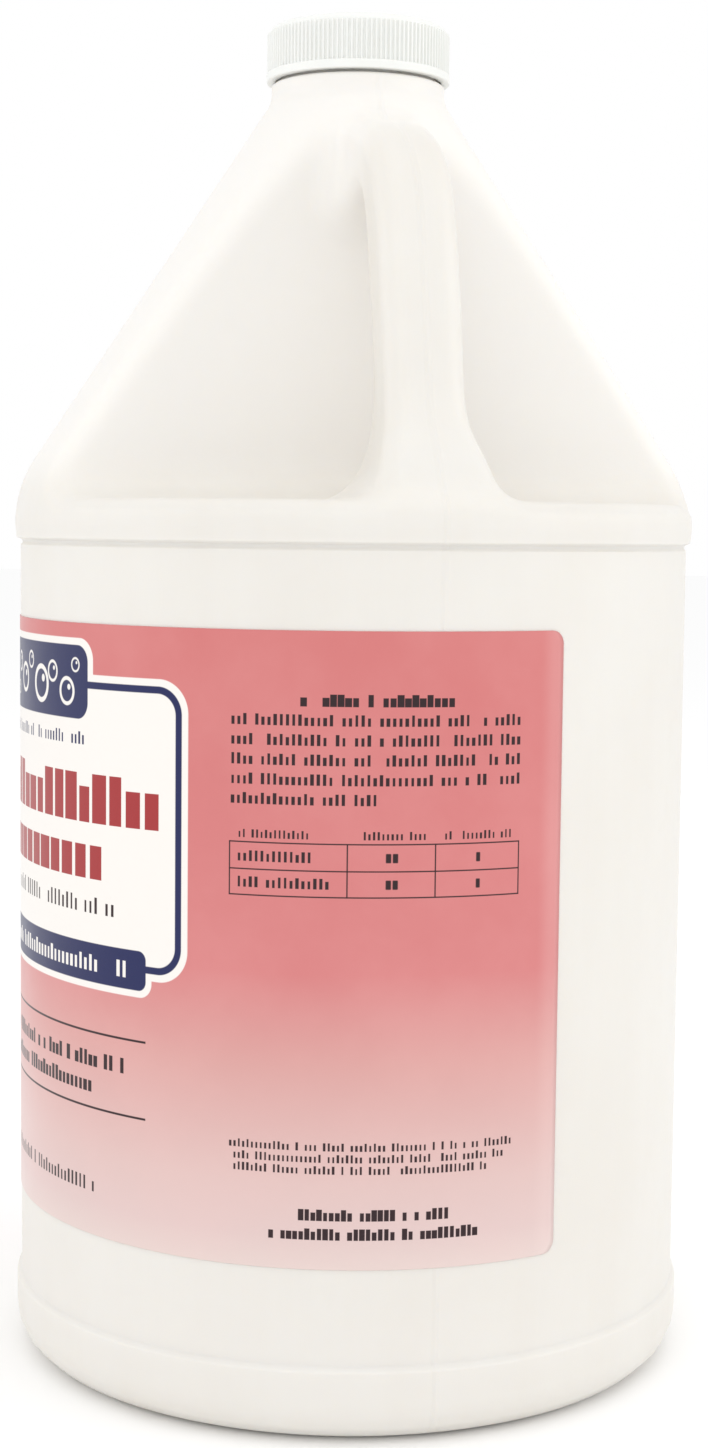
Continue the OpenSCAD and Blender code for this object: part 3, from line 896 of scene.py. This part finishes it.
bottle.data.materials.append(hdpe.mat)
liner.data.materials.append(foam.mat)
label.data.materials.append(label_material())
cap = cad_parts["cap"]
for k in range(len(cap.material_slots)):
    cap.material_slots[k].material = cap_mat.mat

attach(bottle, "bottle")
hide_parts("bottle")
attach(label, "bottle")
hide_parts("label")
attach(liner, "liner")
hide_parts("cap_liner")


# ---------------------------------------------------------------- stage
FLOOR_RINGS = (300, 1200, 3500, 9000)       # radii, mm


def floor_mesh():
    b = Builder()
    rings = [b.ring(r, 0.0, 96) for r in FLOOR_RINGS]
    for inner, outer in zip(rings[:-1], rings[1:]):
        b.strip(outer, inner)
    b.cap(rings[0], (0, 0, 0), flip=True)
    return b.object("floor")


floor = floor_mesh()
floor_mat = Nodes("floor_pale")
floor_mat.set(Base_Color=(0.97, 0.97, 0.97, 1), Roughness=0.9)
floor_mat.bsdf.inputs["Specular IOR Level"].default_value = 0.0
floor.data.materials.append(floor_mat.mat)

# the camera's place round the bottle, its distance and height in metres, and how it is turned
CAMERA_AZ = math.radians(76.0)
CAMERA_FAR, CAMERA_HIGH = 0.5398, 0.1892
PITCH_DOWN, ROLL = math.radians(4.88), math.radians(0.58)
SENSOR_MM, LENS_MM, SHIFT_X = 36.0, 57.83, 0.0017
LIGHT_AIM = Vector((0, 0, 0.15))
# name, degrees round from the camera, height, distance and size in metres, power in watts
LIGHTS = (("light_right", 80, 0.60, 1.3, 1.0, 2.4),
          ("light_left", -85, 0.55, 1.3, 0.9, 1.4),
          ("light_front", -12, 0.80, 1.2, 1.1, 1.8),
          ("light_top", 20, 1.7, 0.5, 1.4, 2.6))


def area_light(name, azimuth, high, far, size, power):
    """A square soft light at an azimuth from the camera, aimed at the bottle's middle."""
    data = bpy.data.lights.new(name, "AREA")
    data.shape = "SQUARE"
    data.size = size
    data.energy = power
    obj = bpy.data.objects.new(name, data)
    bpy.context.scene.collection.objects.link(obj)
    az = CAMERA_AZ + math.radians(azimuth)
    place = Vector((math.sin(az) * far, -math.cos(az) * far, high))
    aim = (LIGHT_AIM - place).to_track_quat("-Z", "Y")
    obj.matrix_world = Matrix.Translation(place) @ aim.to_matrix().to_4x4()


for light in LIGHTS:
    area_light(*light)

world = bpy.data.worlds.new("studio")
bpy.context.scene.world = world
world.use_nodes = True
back = world.node_tree.nodes["Background"]
back.inputs[0].default_value = (1.0, 1.0, 1.0, 1)
back.inputs[1].default_value = 1.0

camera_data = bpy.data.cameras.new("photo_camera")
camera = bpy.data.objects.new("photo_camera", camera_data)
bpy.context.scene.collection.objects.link(camera)
camera_data.sensor_fit = "AUTO"
camera_data.sensor_width = SENSOR_MM
camera_data.lens = LENS_MM
camera_data.shift_x = SHIFT_X
camera_data.clip_start, camera_data.clip_end = 0.02, 50
out = Vector((math.sin(CAMERA_AZ), -math.cos(CAMERA_AZ), 0))
ahead = (-out * math.cos(PITCH_DOWN) + Vector((0, 0, -math.sin(PITCH_DOWN)))).normalized()
look = ahead.to_track_quat("-Z", "Y").to_matrix().to_4x4() @ Matrix.Rotation(ROLL, 4, "Z")
camera.matrix_world = Matrix.Translation(out * CAMERA_FAR + Vector((0, 0, CAMERA_HIGH))) @ look
bpy.context.scene.camera = camera
bpy.context.scene.view_settings.view_transform = "Standard"
